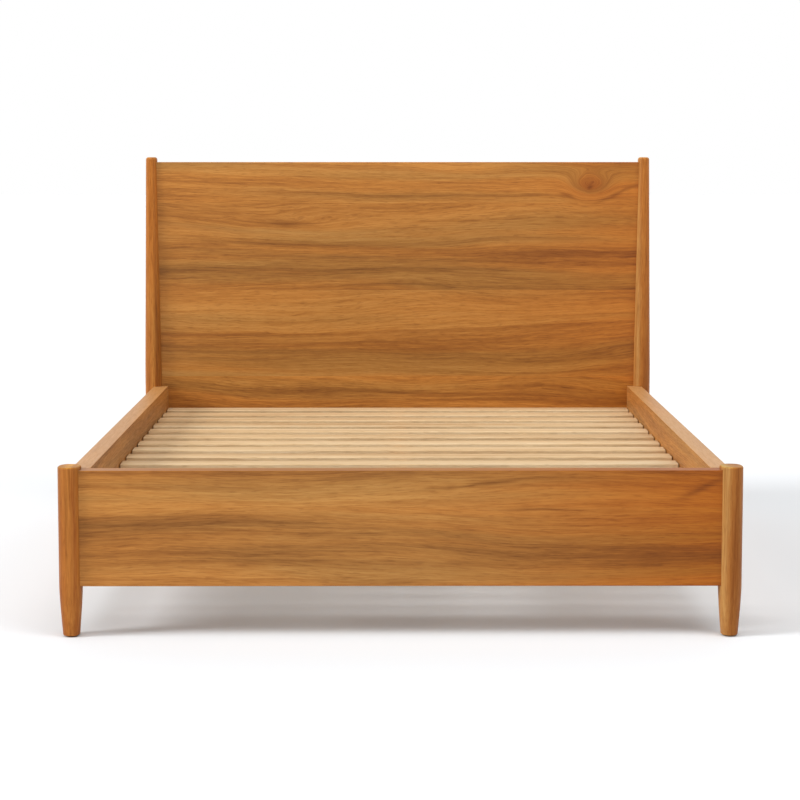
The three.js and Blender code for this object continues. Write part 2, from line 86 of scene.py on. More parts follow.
class Shader:
    """Adds nodes to one material or world, with sockets or plain values as inputs."""

    def __init__(self, owner):
        owner.use_nodes = True
        self.tree = owner.node_tree
        self.tree.nodes.clear()

    def node(self, kind, inputs=None, **settings):
        made = self.tree.nodes.new(kind)
        for name, value in settings.items():
            setattr(made, name, value)
        for key, value in (inputs or {}).items():
            self.feed(made.inputs[key], value)
        return made

    def feed(self, socket, value):
        if isinstance(value, bpy.types.NodeSocket):
            self.tree.links.new(value, socket)
        else:
            socket.default_value = value

    def math(self, operation, *values):
        made = self.node("ShaderNodeMath", dict(enumerate(values)), operation=operation)
        return made.outputs[0]

    def plus(self, a, b):
        return self.math("ADD", a, b)

    def minus(self, a, b):
        return self.math("SUBTRACT", a, b)

    def times(self, a, b):
        return self.math("MULTIPLY", a, b)

    def vector(self, x, y, z):
        return self.node("ShaderNodeCombineXYZ", {0: x, 1: y, 2: z}).outputs[0]

    def axes(self, vector):
        return self.node("ShaderNodeSeparateXYZ", {0: vector}).outputs

    def place(self):
        return self.node("ShaderNodeTexCoord").outputs["Object"]

    def noise(self, vector, scale=1.0, detail=2.0, roughness=0.5):
        inputs = {"Vector": vector, "Scale": scale, "Detail": detail, "Roughness": roughness}
        return self.node("ShaderNodeTexNoise", inputs).outputs["Fac"]

    def cell(self, vector):
        """A steady random value for each whole-number cell."""
        return self.node("ShaderNodeTexWhiteNoise", {"Vector": vector}).outputs["Value"]

    def spread(self, value, low, high, to_low=0.0, to_high=1.0):
        """Maps low..high to to_low..to_high, smoothly and clamped."""
        inputs = {0: value, 1: low, 2: high, 3: to_low, 4: to_high}
        kind = "ShaderNodeMapRange"
        return self.node(kind, inputs, interpolation_type="SMOOTHSTEP").outputs[0]

    def mix(self, factor, a, b, blend="MIX"):
        made = self.node("ShaderNodeMix", data_type="RGBA", blend_type=blend)
        self.feed(made.inputs["Factor"], factor)
        self.feed(made.inputs[6], a)
        self.feed(made.inputs[7], b)
        return made.outputs[2]

    def ramp(self, value, stops):
        made = self.node("ShaderNodeValToRGB", {0: value})
        elements = made.color_ramp.elements
        while len(elements) < len(stops):
            elements.new(0.5)
        for element, (position, colour) in zip(elements, stops):
            element.position = position
            element.color = colour
        return made.outputs[0]

    def bump(self, height, distance, strength=1.0):
        inputs = {"Height": height, "Distance": distance, "Strength": strength}
        return self.node("ShaderNodeBump", inputs).outputs[0]

    def surface(self, **inputs):
        named = {key.replace("_", " "): value for key, value in inputs.items()}
        shader = self.node("ShaderNodeBsdfPrincipled", named)
        output = self.node("ShaderNodeOutputMaterial")
        self.tree.links.new(shader.outputs[0], output.inputs["Surface"])


def rgb(red, green, blue):
    return (red, green, blue, 1.0)


def new_material(name):
    material = bpy.data.materials.new(name)
    return material, Shader(material)


# ---- Wood ----

# Tints that the wood's colour is multiplied by.
OLIVE = rgb(0.80, 0.92, 1.10)
LATEWOOD = rgb(0.56, 0.44, 0.32)
PORE = rgb(0.52, 0.42, 0.35)
# Darker brown: real mineral streaks on the panels, and on the posts painted shade down their sides.
MINERAL_AND_SHADE = rgb(0.62, 0.55, 0.47)
# Redder brown: real heartwood round the headboard's knot, and on the posts painted shade down their
# sides.
HEARTWOOD_AND_SHADE = rgb(0.84, 0.72, 0.60)
# Lighter and yellower: a painted highlight down the right posts' side that faces the light, with paler
# wood.
SAPWOOD_AND_HIGHLIGHT = rgb(1.00, 1.42, 2.40)
# Paler: painted light down the front of the left posts, with paler wood.
PALE_AND_PAINTED_LIGHT = rgb(1.16, 1.22, 1.30)

# Each pair is in cycles per metre: across the grain, then along it.
WIDE_BANDS = (8.0, 0.4)
BANDS = (30.0, 0.9)
FINE_RINGS = (105.0, 2.2)
FIBRES = (300.0, 13.0)
PORES = (430.0, 32.0)
OLIVE_BANDS = (12.0, 0.7)
RING_PATCHES = (14.0, 0.9)
RING_DRIFT = (6.0, 0.5)
MARK_WAVES = (30.0, 9.0)

# How the grain wanders: (across, along) as above, then its share of the look's warp.
BENDS = [(3.0, 0.8, 1.0), (13.0, 3.4, 0.12), (60.0, 17.0, 0.015)]

# The level from which a feature starts to show, and from which it shows fully.
OLIVE_SHOWN = (0.45, 0.68)
RING_SHOWN = (0.46, 0.66)
PORE_SHOWN = (0.54, 0.70)
FACING_SHOWN = (0.6, 0.9)
# A growth ring darkens slowly and ends sharply, at these shares of its width.
RING_START = 0.40
RING_END = 0.97

RINGS_PER_METRE = 21.0
RING_DRIFT_SIZE = 3.0
RING_DEPTH = 0.42
PORE_DEPTH = 0.38
MARK_WANDER = 0.016
KNOT_WAVES = (22.0, 16.0)
KNOT_WANDER = 0.020
TONE_SPAN = 0.15
FIBRE_RELIEF = 0.4
GRAIN_RELIEF = 0.0003
BOARD_STEP_ALONG = 7.0
BOARD_STEP_THROUGH = 3.0
# How far the plain edge strips, with the painted sheen on them, hide the grain.
EDGING_AND_SHEEN_COVER = 0.6


class Grain:
    """Places along, across and through a board, with the across one bent into the figure."""

    def __init__(self, sh, along, across, through):
        self.sh = sh
        self.along = along
        self.across = across
        self.flow = across
        self.through = through

    def scaled(self, across, scale_across, scale_along):
        sh = self.sh
        return sh.vector(
            sh.times(self.along, scale_along),
            sh.times(across, scale_across),
            sh.times(self.through, scale_across),
        )

    def swing(self, scales, size, detail=1.5):
        """Slow noise to either side of zero, by up to about half of size."""
        noise = self.sh.noise(self.scaled(self.across, *scales), 1.0, detail)
        return self.sh.times(self.sh.minus(noise, 0.5), size)

    def bend(self, amount):
        self.flow = self.sh.plus(self.flow, amount)

    def streaks(self, scales, detail=2.0, roughness=0.5):
        return self.sh.noise(self.scaled(self.flow, *scales), 1.0, detail, roughness)

    def ring_edges(self):
        """One at the sharp dark edge of each growth ring, fading away across the ring."""
        sh = self.sh
        drift = sh.times(self.streaks(RING_DRIFT), RING_DRIFT_SIZE)
        rings = sh.plus(sh.times(self.flow, RINGS_PER_METRE), drift)
        phase = sh.math("FRACT", rings)
        edge = sh.times(sh.spread(phase, RING_START, RING_END), sh.spread(phase, 1.0, RING_END))
        shown = sh.spread(self.streaks(RING_PATCHES), *RING_SHOWN)
        return sh.times(edge, shown)


def bell(sh, x, y):
    """One where x and y are zero, falling away smoothly once either nears one."""
    square = sh.plus(sh.times(x, x), sh.times(y, y))
    return sh.math("EXPONENT", sh.times(square, -1.0))


def offset(sh, value, start, scale):
    return sh.math("DIVIDE", sh.minus(value, start), scale)


def hump(sh, u, v, knot):
    """A bell-shaped rise, round which the growth rings close into a knot."""
    (u_centre, v_centre), (u_radius, v_radius), height = knot
    rise = bell(sh, offset(sh, u, u_centre, u_radius), offset(sh, v, v_centre, v_radius))
    return sh.times(rise, height)


def soft_streak(sh, u, v, mark):
    """A streak from one point to another, soft at its sides and pointed at its ends."""
    (u_start, v_start), (u_end, v_end), half_width, _ = mark
    length = math.hypot(u_end - u_start, v_end - v_start)
    u_step = (u_end - u_start) / length
    v_step = (v_end - v_start) / length
    u_here = sh.minus(u, (u_start + u_end) / 2)
    v_here = sh.minus(v, (v_start + v_end) / 2)
    along = sh.plus(sh.times(u_here, u_step), sh.times(v_here, v_step))
    across = sh.minus(sh.times(v_here, u_step), sh.times(u_here, v_step))
    return bell(sh, sh.math("DIVIDE", along, length / 2), sh.math("DIVIDE", across, half_width))


def faces(sh, axis):
    """One where the surface faces either way along an axis, else zero."""
    normal = sh.node("ShaderNodeTexCoord").outputs["Normal"]
    return sh.spread(sh.math("ABSOLUTE", sh.axes(normal)[axis]), *FACING_SHOWN)


def board_number(sh, place, look, across):
    """A steady random number for each board, so that no two show the same grain."""
    strip = sh.math("FLOOR", offset(sh, across, *look.leaf)) if look.leaf else 0.0
    strip = sh.plus(strip, look.seed)
    side = sh.math("SIGN", place[0]) if "X" in look.boards else 0.0
    end = sh.math("SIGN", place[1]) if "Y" in look.boards else 0.0
    return sh.cell(sh.vector(strip, side, end))


def build_grain(sh, look, number, u, v, w):
    u_here = sh.plus(u, sh.times(number, BOARD_STEP_ALONG))
    w_here = sh.plus(w, sh.times(number, BOARD_STEP_THROUGH))
    figure = Grain(sh, u_here, v, w_here)
    if look.knots:
        wander = figure.swing(KNOT_WAVES, KNOT_WANDER, 2.0)
        u_wavy = sh.plus(u, wander)
        v_wavy = sh.plus(v, wander)
    for knot in look.knots:
        figure.bend(hump(sh, u_wavy, v_wavy, knot))
    for across, along, share in BENDS:
        figure.bend(figure.swing((across, along), look.warp * share))
    return figure


def wood_tone(sh, figure, fibres, look):
    """From zero in the darkest streaks to one in the lightest."""
    layers = [
        (figure.streaks(WIDE_BANDS), 0.30),
        (figure.streaks(BANDS), 0.22),
        (figure.streaks(FINE_RINGS, 2.0, 0.6), 0.20),
        (fibres, 0.28),
    ]
    tone = 0.0
    for layer, weight in layers:
        tone = sh.plus(tone, sh.times(layer, weight))
    half = TONE_SPAN / look.contrast
    return sh.spread(tone, 0.5 - half, 0.5 + half)


def wood_colour(sh, figure, fibres, pores, look):
    """The colour of the grain itself, before marks and tints."""
    olive = sh.spread(figure.streaks(OLIVE_BANDS), *OLIVE_SHOWN, 0.0, look.olive)
    rings = sh.times(figure.ring_edges(), RING_DEPTH * look.contrast)
    dark, middle, light = look.colours
    tone = wood_tone(sh, figure, fibres, look)
    colour = sh.ramp(tone, [(0.0, dark), (0.5, middle), (1.0, light)])
    colour = sh.mix(olive, colour, OLIVE, "MULTIPLY")
    colour = sh.mix(rings, colour, LATEWOOD, "MULTIPLY")
    return sh.mix(pores, colour, PORE, "MULTIPLY")


# Tints along streaks: real mineral streaks and heartwood, and on the posts bands of painted light and
# shade.
def wood_marks(sh, figure, look, u, v, colour):
    wander = figure.swing(MARK_WAVES, MARK_WANDER, 2.0)
    wavy = sh.plus(v, wander)
    for mark in look.marks:
        colour = sh.mix(soft_streak(sh, u, wavy, mark), colour, mark[-1], "MULTIPLY")
    return colour


def wood(name, grain, look):
    """Planed wood. grain names the axes along, across and through the board, such as "XZY"."""
    material, sh = new_material(name)
    axis = ["XYZ".index(letter) for letter in grain]
    place = sh.axes(sh.place())
    u, v, w = (place[i] for i in axis)
    number = board_number(sh, place, look, v)
    figure = build_grain(sh, look, number, u, v, w)
    fibres = figure.streaks(FIBRES, 3.0, 0.65)
    pores = sh.spread(figure.streaks(PORES, 1.0), *PORE_SHOWN, 0.0, PORE_DEPTH * look.contrast)

    colour = wood_colour(sh, figure, fibres, pores, look)
    if look.marks:
        colour = wood_marks(sh, figure, look, u, v, colour)
    # The faces along the long edges, tops and bottoms, take the strip colour: edge strips, with a
    # painted sheen of light on the tops.
    if look.edging_and_sheen:
        cover = sh.times(faces(sh, axis[1]), EDGING_AND_SHEEN_COVER)
        colour = sh.mix(cover, colour, look.edging_and_sheen)
    # Painted shade: darker and browner along the grain from start to stop, for light falling off across
    # the panel.
    if look.painted_shade:
        start, stop, shade_tint = look.painted_shade
        colour = sh.mix(sh.spread(u, start, stop), colour, shade_tint, "MULTIPLY")
    gain = sh.plus(sh.times(sh.minus(number, 0.5), look.variety), 1.0)
    colour = sh.mix(1.0, colour, sh.vector(gain, gain, gain), "MULTIPLY")
    # End faces take the look's end tint: darker end grain on most boards; on the posts lighter and
    # yellower, painted light on their tops with the end grain's colour.
    colour = sh.mix(faces(sh, axis[0]), colour, look.ends, "MULTIPLY")
    relief = sh.minus(sh.times(fibres, FIBRE_RELIEF), pores)
    sh.surface(
        Base_Color=colour,
        Roughness=sh.spread(fibres, 0.3, 0.7, look.rough + 0.05, look.rough - 0.04),
        Specular_IOR_Level=look.shine,
        Normal=sh.bump(relief, GRAIN_RELIEF, 0.4),
    )
    return material


@dataclass
class Look:
    """How one kind of wood looks.

    leaf is (edge, width) of the strips of veneer or the boards that lie side by side.
    boards names the axes along which the parts either side of the bed's middle differ.
    knots are (centre, radii, height of the rise that bends the grain round them).
    marks are (start, end, half width, tint), in metres along and across the grain.
    deepen is (start, stop, tint): the stretch along the grain over which the tint sets in; it is
    painted shade, darker and browner towards the panels' right ends, for light that falls off from the
    left.
    edging is the colour of the plain strips along the board's long edges, with a painted sheen of light
    added on the top faces.
    variety is how far one board's brightness differs from another's.
    """

    colours: list
    warp: float
    leaf: tuple = None
    boards: str = ""
    knots: tuple = ()
    marks: tuple = ()
    contrast: float = 1.0
    olive: float = 0.8
    rough: float = 0.46
    shine: float = 0.3
    painted_shade: tuple = None
    edging_and_sheen: tuple = None
    variety: float = 0.12
    seed: float = 0.0
    ends: tuple = (0.80, 0.75, 0.70, 1.0)


HONEY = [rgb(0.249, 0.083, 0.014), rgb(0.440, 0.171, 0.033), rgb(0.572, 0.258, 0.060)]
# Lighter than the footboard's honey: painted light on the headboard, for the light that a mattress in
# front of it would throw back.
HONEY_WITH_PAINTED_LIGHT = [rgb(0.282, 0.094, 0.015), rgb(0.488, 0.190, 0.033), rgb(0.624, 0.276, 0.060)]
HONEY_POST = [rgb(0.246, 0.070, 0.008), rgb(0.410, 0.134, 0.021), rgb(0.523, 0.206, 0.039)]
PINE = [rgb(0.46, 0.27, 0.12), rgb(0.66, 0.46, 0.25), rgb(0.76, 0.58, 0.36)]
BEECH = [rgb(0.40, 0.22, 0.10), rgb(0.58, 0.37, 0.19), rgb(0.68, 0.47, 0.27)]

# Colours of the faces along the long edges: the edge strips' own colour, lightened with a painted sheen
# that stands in for the sky's reflection on the tops.
PANEL_EDGING_AND_SHEEN = rgb(0.38, 0.17, 0.065)
RAIL_EDGING_AND_SHEEN = rgb(0.54, 0.28, 0.095)

HEADBOARD_LOOK = Look(
    # Painted light: the lighter copy of the honey colours.
    HONEY_WITH_PAINTED_LIGHT,
    warp=0.17,
    leaf=(1.030, 0.29),
    knots=(((0.640, 1.090), (0.058, 0.036), 0.120), ((-0.376, 0.960), (0.200, 0.030), 0.022)),
    marks=(
        ((0.672, 1.034), (0.800, 1.090), 0.006, MINERAL_AND_SHADE),
        ((0.632, 1.078), (0.648, 1.086), 0.007, MINERAL_AND_SHADE),
        ((0.560, 1.078), (0.720, 1.078), 0.034, HEARTWOOD_AND_SHADE),
        ((-0.440, 0.966), (-0.310, 0.960), 0.012, MINERAL_AND_SHADE),
        ((0.540, 1.062), (0.590, 1.046), 0.005, MINERAL_AND_SHADE),
    ),
    # Painted shade towards the right end, with a browner tone.
    painted_shade=(0.1, 1.2, rgb(0.92, 0.66, 0.25)),
    edging_and_sheen=PANEL_EDGING_AND_SHEEN,
    variety=0.35,
)
FOOTBOARD_LOOK = Look(
    HONEY,
    warp=0.10,
    leaf=(0.325, 0.29),
    marks=(
        ((0.235, 0.320), (0.450, 0.317), 0.003, MINERAL_AND_SHADE),
        ((0.060, 0.368), (0.300, 0.396), 0.004, MINERAL_AND_SHADE),
        ((0.690, 0.345), (0.800, 0.400), 0.009, MINERAL_AND_SHADE),
    ),
    contrast=0.88,
    shine=0.2,
    # Painted shade towards the right end, with a browner tone.
    painted_shade=(-0.1, 0.9, rgb(0.78, 0.52, 0.15)),
    edging_and_sheen=PANEL_EDGING_AND_SHEEN,
)
RAIL_LOOK = Look(HONEY, warp=0.09, leaf=(0.325, 0.29), boards="X", shine=0.5, edging_and_sheen=RAIL_EDGING_AND_SHEEN)
POST_LOOK = Look(
    HONEY_POST,
    warp=0.07,
    boards="XY",
    # Lengthwise bands, partly wood tone and partly painted light: a painted highlight on the right
    # posts' side towards the light, painted shade on their far side, and on the left posts painted
    # shade on both sides with painted light between.
    marks=(
        ((-0.500, 0.800), (1.600, 0.800), 0.012, SAPWOOD_AND_HIGHLIGHT),
        ((-0.250, 0.832), (0.650, 0.832), 0.022, MINERAL_AND_SHADE),
        ((-0.500, -0.822), (1.600, -0.822), 0.012, PALE_AND_PAINTED_LIGHT),
        ((0.100, -0.815), (0.600, -0.815), 0.009, PALE_AND_PAINTED_LIGHT),
        ((-0.250, -0.836), (0.650, -0.836), 0.012, HEARTWOOD_AND_SHADE),
        ((-0.250, -0.802), (0.650, -0.806), 0.005, HEARTWOOD_AND_SHADE),
    ),
    contrast=0.9,
    shine=0.15,
    variety=0.30,
    seed=15.0,
    # The posts' end faces lighter and yellower: painted light on their tops, with the end grain's own
    # colour.
    ends=rgb(1.20, 1.46, 0.95),
)
LEDGER_LOOK = Look(BEECH, warp=0.05, boards="X", contrast=0.7, olive=0.2, rough=0.55)
LEG_LOOK = Look(BEECH, warp=0.04, boards="Y", contrast=0.7, olive=0.2, rough=0.55)


def slat_look():
    """Pale softwood boards that lie across the bed, each cut from another place."""
    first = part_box(SLATS[0])
    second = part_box(SLATS[1])
    pitch = second[0].y - first[0].y
    edge = (first[0].y + first[1].y - pitch) / 2
    return Look(PINE, warp=0.05, leaf=(edge, pitch), contrast=0.8, olive=0.2, rough=0.6)


def make_materials():
    """The looks by name. A piece made here wears the one named like its slot."""
    return {
        "headboard": wood("headboard_veneer", "XZY", HEADBOARD_LOOK),
        "footboard": wood("footboard_veneer", "XZY", FOOTBOARD_LOOK),
        "rail": wood("rail_veneer", "YZX", RAIL_LOOK),
        "post_wood": wood("post_wood", "ZXY", POST_LOOK),
        "slat": wood("slat_wood", "XYZ", slat_look()),
        "ledger": wood("ledger_wood", "YZX", LEDGER_LOOK),
        "leg": wood("leg_wood", "ZXY", LEG_LOOK),
        "zinc_steel": zinc_plate(),
        "black_steel": black_oxide(),
        "glide_plastic": moulded_plastic(),
        "strap_webbing": woven_webbing(),
    }


# ---- Metal, plastic and webbing ----


def zinc_plate():
    material, sh = new_material("zinc_plate")
    place = sh.place()
    spangle = sh.node("ShaderNodeTexVoronoi", {"Vector": place, "Scale": 260.0}).outputs["Color"]
    grain = sh.noise(place, 900.0, 3.0, 0.6)
    smudge = sh.noise(place, 35.0, 3.0)
    shade = sh.mix(sh.axes(spangle)[0], rgb(0.50, 0.51, 0.52), rgb(0.62, 0.63, 0.65))
    colour = sh.mix(sh.spread(smudge, 0.4, 0.75, 0.0, 0.35), shade, rgb(0.40, 0.40, 0.39))
    roughness = sh.spread(smudge, 0.3, 0.7, 0.30, 0.44)
    normal = sh.bump(grain, 0.00005, 0.35)
    sh.surface(Base_Color=colour, Metallic=1.0, Roughness=roughness, Normal=normal)
    return material


def black_oxide():
    material, sh = new_material("black_oxide")
    place = sh.place()
    grain = sh.noise(place, 1200.0, 3.0, 0.6)
    smudge = sh.noise(place, 120.0, 2.0)
    colour = sh.mix(smudge, rgb(0.018, 0.018, 0.020), rgb(0.045, 0.045, 0.050))
    roughness = sh.spread(smudge, 0.3, 0.7, 0.34, 0.50)
    normal = sh.bump(grain, 0.00004, 0.3)
    sh.surface(Base_Color=colour, Metallic=0.7, Roughness=roughness, Normal=normal)
    return material


def moulded_plastic():
    material, sh = new_material("moulded_plastic")
    place = sh.place()
    grain = sh.noise(place, 2200.0, 2.0)
    smudge = sh.noise(place, 60.0, 2.0)
    colour = sh.mix(smudge, rgb(0.016, 0.016, 0.017), rgb(0.030, 0.030, 0.032))
    roughness = sh.spread(smudge, 0.3, 0.7, 0.46, 0.60)
    sh.surface(Base_Color=colour, Roughness=roughness, Normal=sh.bump(grain, 0.00006, 0.4))
    return material


YARN_WIDTH = 0.0011
RIB_PITCH = 0.0018


def ridge(sh, value, pitch, shift=0.0):
    """Rounded ridges side by side, a pitch apart."""
    turn = sh.plus(sh.times(value, math.pi / pitch), shift)
    return sh.math("ABSOLUTE", sh.math("SINE", turn))


def woven_webbing():
    """Flat polyester webbing: ribs across the strap, crossed by the warp yarns along it."""
    material, sh = new_material("woven_webbing")
    x, y, _ = sh.axes(sh.place())
    yarn = ridge(sh, x, YARN_WIDTH)
    over = sh.math("FLOOR", sh.math("DIVIDE", x, YARN_WIDTH))
    rib = ridge(sh, y, RIB_PITCH, sh.times(over, math.pi / 2))
    weave = sh.times(sh.plus(yarn, 0.4), sh.plus(rib, 0.3))
    # The colour follows the weave's height, darker in the hollows between the yarns: painted shade.
    shade = sh.mix(sh.spread(weave, 0.2, 1.6), rgb(0.50, 0.46, 0.38), rgb(0.78, 0.75, 0.67))
    fuzz = sh.noise(sh.place(), 700.0, 3.0)
    colour = sh.mix(sh.spread(fuzz, 0.4, 0.7, 0.0, 0.3), shade, rgb(0.60, 0.56, 0.48))
    sh.surface(
        Base_Color=colour,
        Roughness=0.85,
        Sheen_Weight=0.25,
        Normal=sh.bump(weave, 0.0003, 0.8),
    )
    return material


MATERIALS = make_materials()

# ---- Mesh helpers ----

WELD_DISTANCE = 0.00001
SHARP_ANGLE = math.radians(50)
ROUND_FACETS = 48


def add_object(name, data):
    made = bpy.data.objects.new(name, data)
    bpy.context.scene.collection.objects.link(made)
    return made


def mesh_of(bm, name="part"):
    """Turns a bmesh into a mesh and frees it."""
    mesh = bpy.data.meshes.new(name)
    bm.normal_update()
    bm.to_mesh(mesh)
    bm.free()
    return mesh


def smooth_tree():
    """A modifier that drops imported normals and smooths every edge below a set angle."""
    tree = bpy.data.node_groups.new("smooth_below_angle", "GeometryNodeTree")
    for way in ("INPUT", "OUTPUT"):
        tree.interface.new_socket("Geometry", in_out=way, socket_type="NodeSocketGeometry")
    start = tree.nodes.new("NodeGroupInput")
    stop = tree.nodes.new("NodeGroupOutput")
    merge = tree.nodes.new("GeometryNodeMergeByDistance")
    merge.inputs["Distance"].default_value = WELD_DISTANCE
    angle = tree.nodes.new("GeometryNodeInputMeshEdgeAngle")
    sharp = tree.nodes.new("FunctionNodeCompare")
    sharp.operation = "GREATER_THAN"
    sharp.inputs[1].default_value = SHARP_ANGLE
    normals = tree.nodes.new("GeometryNodeSetMeshNormal")
    normals.mode = "SHARPNESS"
    normals.inputs["Remove Custom"].default_value = True
    normals.inputs["Face Sharpness"].default_value = False
    tree.links.new(start.outputs[0], merge.inputs[0])
    tree.links.new(merge.outputs[0], normals.inputs[0])
    tree.links.new(angle.outputs["Unsigned Angle"], sharp.inputs[0])
    tree.links.new(sharp.outputs[0], normals.inputs["Edge Sharpness"])
    tree.links.new(normals.outputs[0], stop.inputs[0])
    return tree


SMOOTH = smooth_tree()


def smooth(piece, bevel=0.0):
    """Soft shading over rounded edges, with flat faces kept flat."""
    if bevel:
        weld = piece.modifiers.new("weld", "WELD")
        weld.merge_threshold = WELD_DISTANCE
        rounding = piece.modifiers.new("rounding", "BEVEL")
        rounding.width = bevel
        rounding.segments = 2
        rounding.limit_method = "ANGLE"
        rounding.angle_limit = SHARP_ANGLE
    shade = piece.modifiers.new("shade", "NODES")
    shade.node_group = SMOOTH
    weighted = piece.modifiers.new("weighted", "WEIGHTED_NORMAL")
    weighted.keep_sharp = True


def new_piece(name, bm, slot, replaced=(), body=BODY, bevel=0.0):
    mesh = mesh_of(bm, name)
    mesh.materials.append(MATERIALS[slot])
    piece = add_object(name, mesh)
    smooth(piece, bevel)
    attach(piece, body)
    if replaced:
        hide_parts(*replaced)
    return piece


def loft(rings):
    """A closed body through rings of points, each with as many points as the next."""
    bm = bmesh.new()
    loops = [[bm.verts.new(point) for point in ring] for ring in rings]
    for lower, upper in zip(loops, loops[1:]):
        for i in range(len(lower)):
            j = (i + 1) % len(lower)
            bm.faces.new((lower[i], lower[j], upper[j], upper[i]))
    bm.faces.new(reversed(loops[0]))
    bm.faces.new(loops[-1])
    return bm


def circle(radius, z, facets):
    turns = (2 * math.pi * i / facets for i in range(facets))
    return [Vector((radius * math.cos(t), radius * math.sin(t), z)) for t in turns]


def turned(profile, facets=64):
    """A turned body about Z from (radius, z) pairs that start and end off the axis."""
    return loft([circle(radius, z, facets) for radius, z in profile])


def box_between(a, b):
    low = Vector(map(min, a, b))
    high = Vector(map(max, a, b))
    middle = Matrix.Translation((low + high) / 2)
    bm = bmesh.new()
    bmesh.ops.create_cube(bm, matrix=middle @ Matrix.Diagonal([*(high - low), 1]))
    return bm


def rod(radius, start, stop):
    """A round rod between two points."""
    start, stop = Vector(start), Vector(stop)
    turn = (stop - start).to_track_quat("Z", "Y").to_matrix().to_4x4()
    bm = turned([(radius, 0.0), (radius, (stop - start).length)], ROUND_FACETS)
    bm.transform(Matrix.Translation(start) @ turn)
    return bm


def combine(bm, others, operation):
    """bm after a boolean with each of the others in turn."""
    made = [add_object("operand", mesh_of(part)) for part in (bm, *others)]
    whole = made[0]
    for other in made[1:]:
        boolean = whole.modifiers.new("boolean", "BOOLEAN")
        boolean.object = other
        boolean.operation = operation
        boolean.solver = "EXACT"
    bpy.context.view_layer.update()
    evaluated = whole.evaluated_get(bpy.context.evaluated_depsgraph_get())
    result = bmesh.new()
    result.from_mesh(evaluated.to_mesh())
    evaluated.to_mesh_clear()
    for holder in made:
        mesh = holder.data
        bpy.data.objects.remove(holder)
        bpy.data.meshes.remove(mesh)
    return result


def cut(bm, cutters):
    """bm with every cutter taken away."""
    return combine(bm, cutters, "DIFFERENCE")


def joined(bodies):
    """Several bodies in one bmesh."""
    whole = bmesh.new()
    for body in bodies:
        mesh = mesh_of(body)
        whole.from_mesh(mesh)
        bpy.data.meshes.remove(mesh)
    return whole


def copies(bm, places):
    """The same body at several places, as one bmesh."""
    bodies = [bm.copy() for _ in places]
    for body, place in zip(bodies, places):
        body.transform(place)
    bm.free()
    return joined(bodies)


def middle_of(node):
    """The middle of a node's box, as a point in plan."""
    low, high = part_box(node)
    return Vector(((low.x + high.x) / 2, (low.y + high.y) / 2, 0))


def facing(position, direction, turn=0.0):
    """A place whose Z axis looks along direction, turned about it in radians."""
    aim = Vector(direction).to_track_quat("Z", "Y").to_matrix().to_4x4()
    return Matrix.Translation(position) @ aim @ Matrix.Rotation(turn, 4, "Z")


# ---- Posts ----


def post_width(end, z, top):
    """Half the post's width across the bed, at height z."""
    low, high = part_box("foot_post_left")
    full = (high.x - low.x) / 2
    leg = (full - LEG_TIP_HALF_WIDTH) * max(0.0, 1 - z / LEG_TAPER_Z) ** LEG_TAPER_POWER
    share = max(0.0, (z - HEAD_TAPER_Z) / (top - HEAD_TAPER_Z)) if end == "head" else 0.0
    return full - leg - (full - HEAD_TIP_HALF_WIDTH) * share


def post_rings(end, node):
    """Rings of the oval post, from its foot to its rounded top."""
    low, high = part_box(node)
    depth_share = (high.y - low.y) / (high.x - low.x)
    ease = TOP_EASE[end]
    foot = post_width(end, low.z, high.z)
    profile = [(foot - LEG_TIP_EASE, low.z)]
    for step in range(1, TIP_STEPS + 1):
        turn = step / TIP_STEPS * math.pi / 2
        z = low.z + LEG_TIP_EASE * (1 - math.cos(turn))
        profile.append((post_width(end, z, high.z) - LEG_TIP_EASE * (1 - math.sin(turn)), z))
    tip = low.z + LEG_TIP_EASE
    stops = [tip + (LEG_TAPER_Z - tip) * (i + 1) / TAPER_STEPS for i in range(TAPER_STEPS)]
    straight = high.z - ease - LEG_TAPER_Z
    stops += [LEG_TAPER_Z + straight * (i + 1) / SHAFT_STEPS for i in range(SHAFT_STEPS)]
    profile += [(post_width(end, z, high.z), z) for z in stops]
    shoulder = profile[-1][0]
    for step in range(1, TOP_STEPS + 1):
        turn = step / TOP_STEPS * math.pi / 2
        z = high.z - ease * (1 - math.sin(turn))
        profile.append((shoulder - ease * (1 - math.cos(turn)), z))
    centre = middle_of(node)
    return [[centre + point for point in oval(width, z, depth_share)] for width, z in profile]


def oval(half_width, z, depth_share):
    def squared(value):
        return math.copysign(abs(value) ** (2 / OVAL_POWER), value)

    points = []
    for i in range(POST_FACETS):
        turn = 2 * math.pi * i / POST_FACETS
        x = half_width * squared(math.cos(turn))
        y = half_width * squared(math.sin(turn)) * depth_share
        points.append(Vector((x, y, z)))
    return points


def post_cuts(end, side):
    """The groove for the panel's end and the housing for the rail's end."""
    panel = "headboard_panel" if end == "head" else "footboard_panel"
    panel_low, panel_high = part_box(panel)
    rail_low, rail_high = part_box(f"side_rail_{side}")
    clear = Vector((GAP, GAP, GAP))
    groove = box_between(panel_low - clear, panel_high + clear)
    into_post = rail_low.y - CUT_REACH if end == "foot" else rail_high.y + CUT_REACH
    seat_low = Vector((rail_low.x, min(into_post, 0), rail_low.z)) - clear
    seat_high = Vector((rail_high.x, max(into_post, 0), rail_high.z)) + clear
    if SIDES[side] > 0:
        seat_low.x -= HOUSING_RUN_OUT
    else:
        seat_high.x += HOUSING_RUN_OUT
    return [groove, box_between(seat_low, seat_high)]


def build_posts():
    for end, side in CORNERS:
        node = f"{end}_post_{side}"
        shape = cut(loft(post_rings(end, node)), post_cuts(end, side))
        new_piece(f"{node}_turned", shape, "post_wood", [node])


# ---- Screws, bolts and staples ----

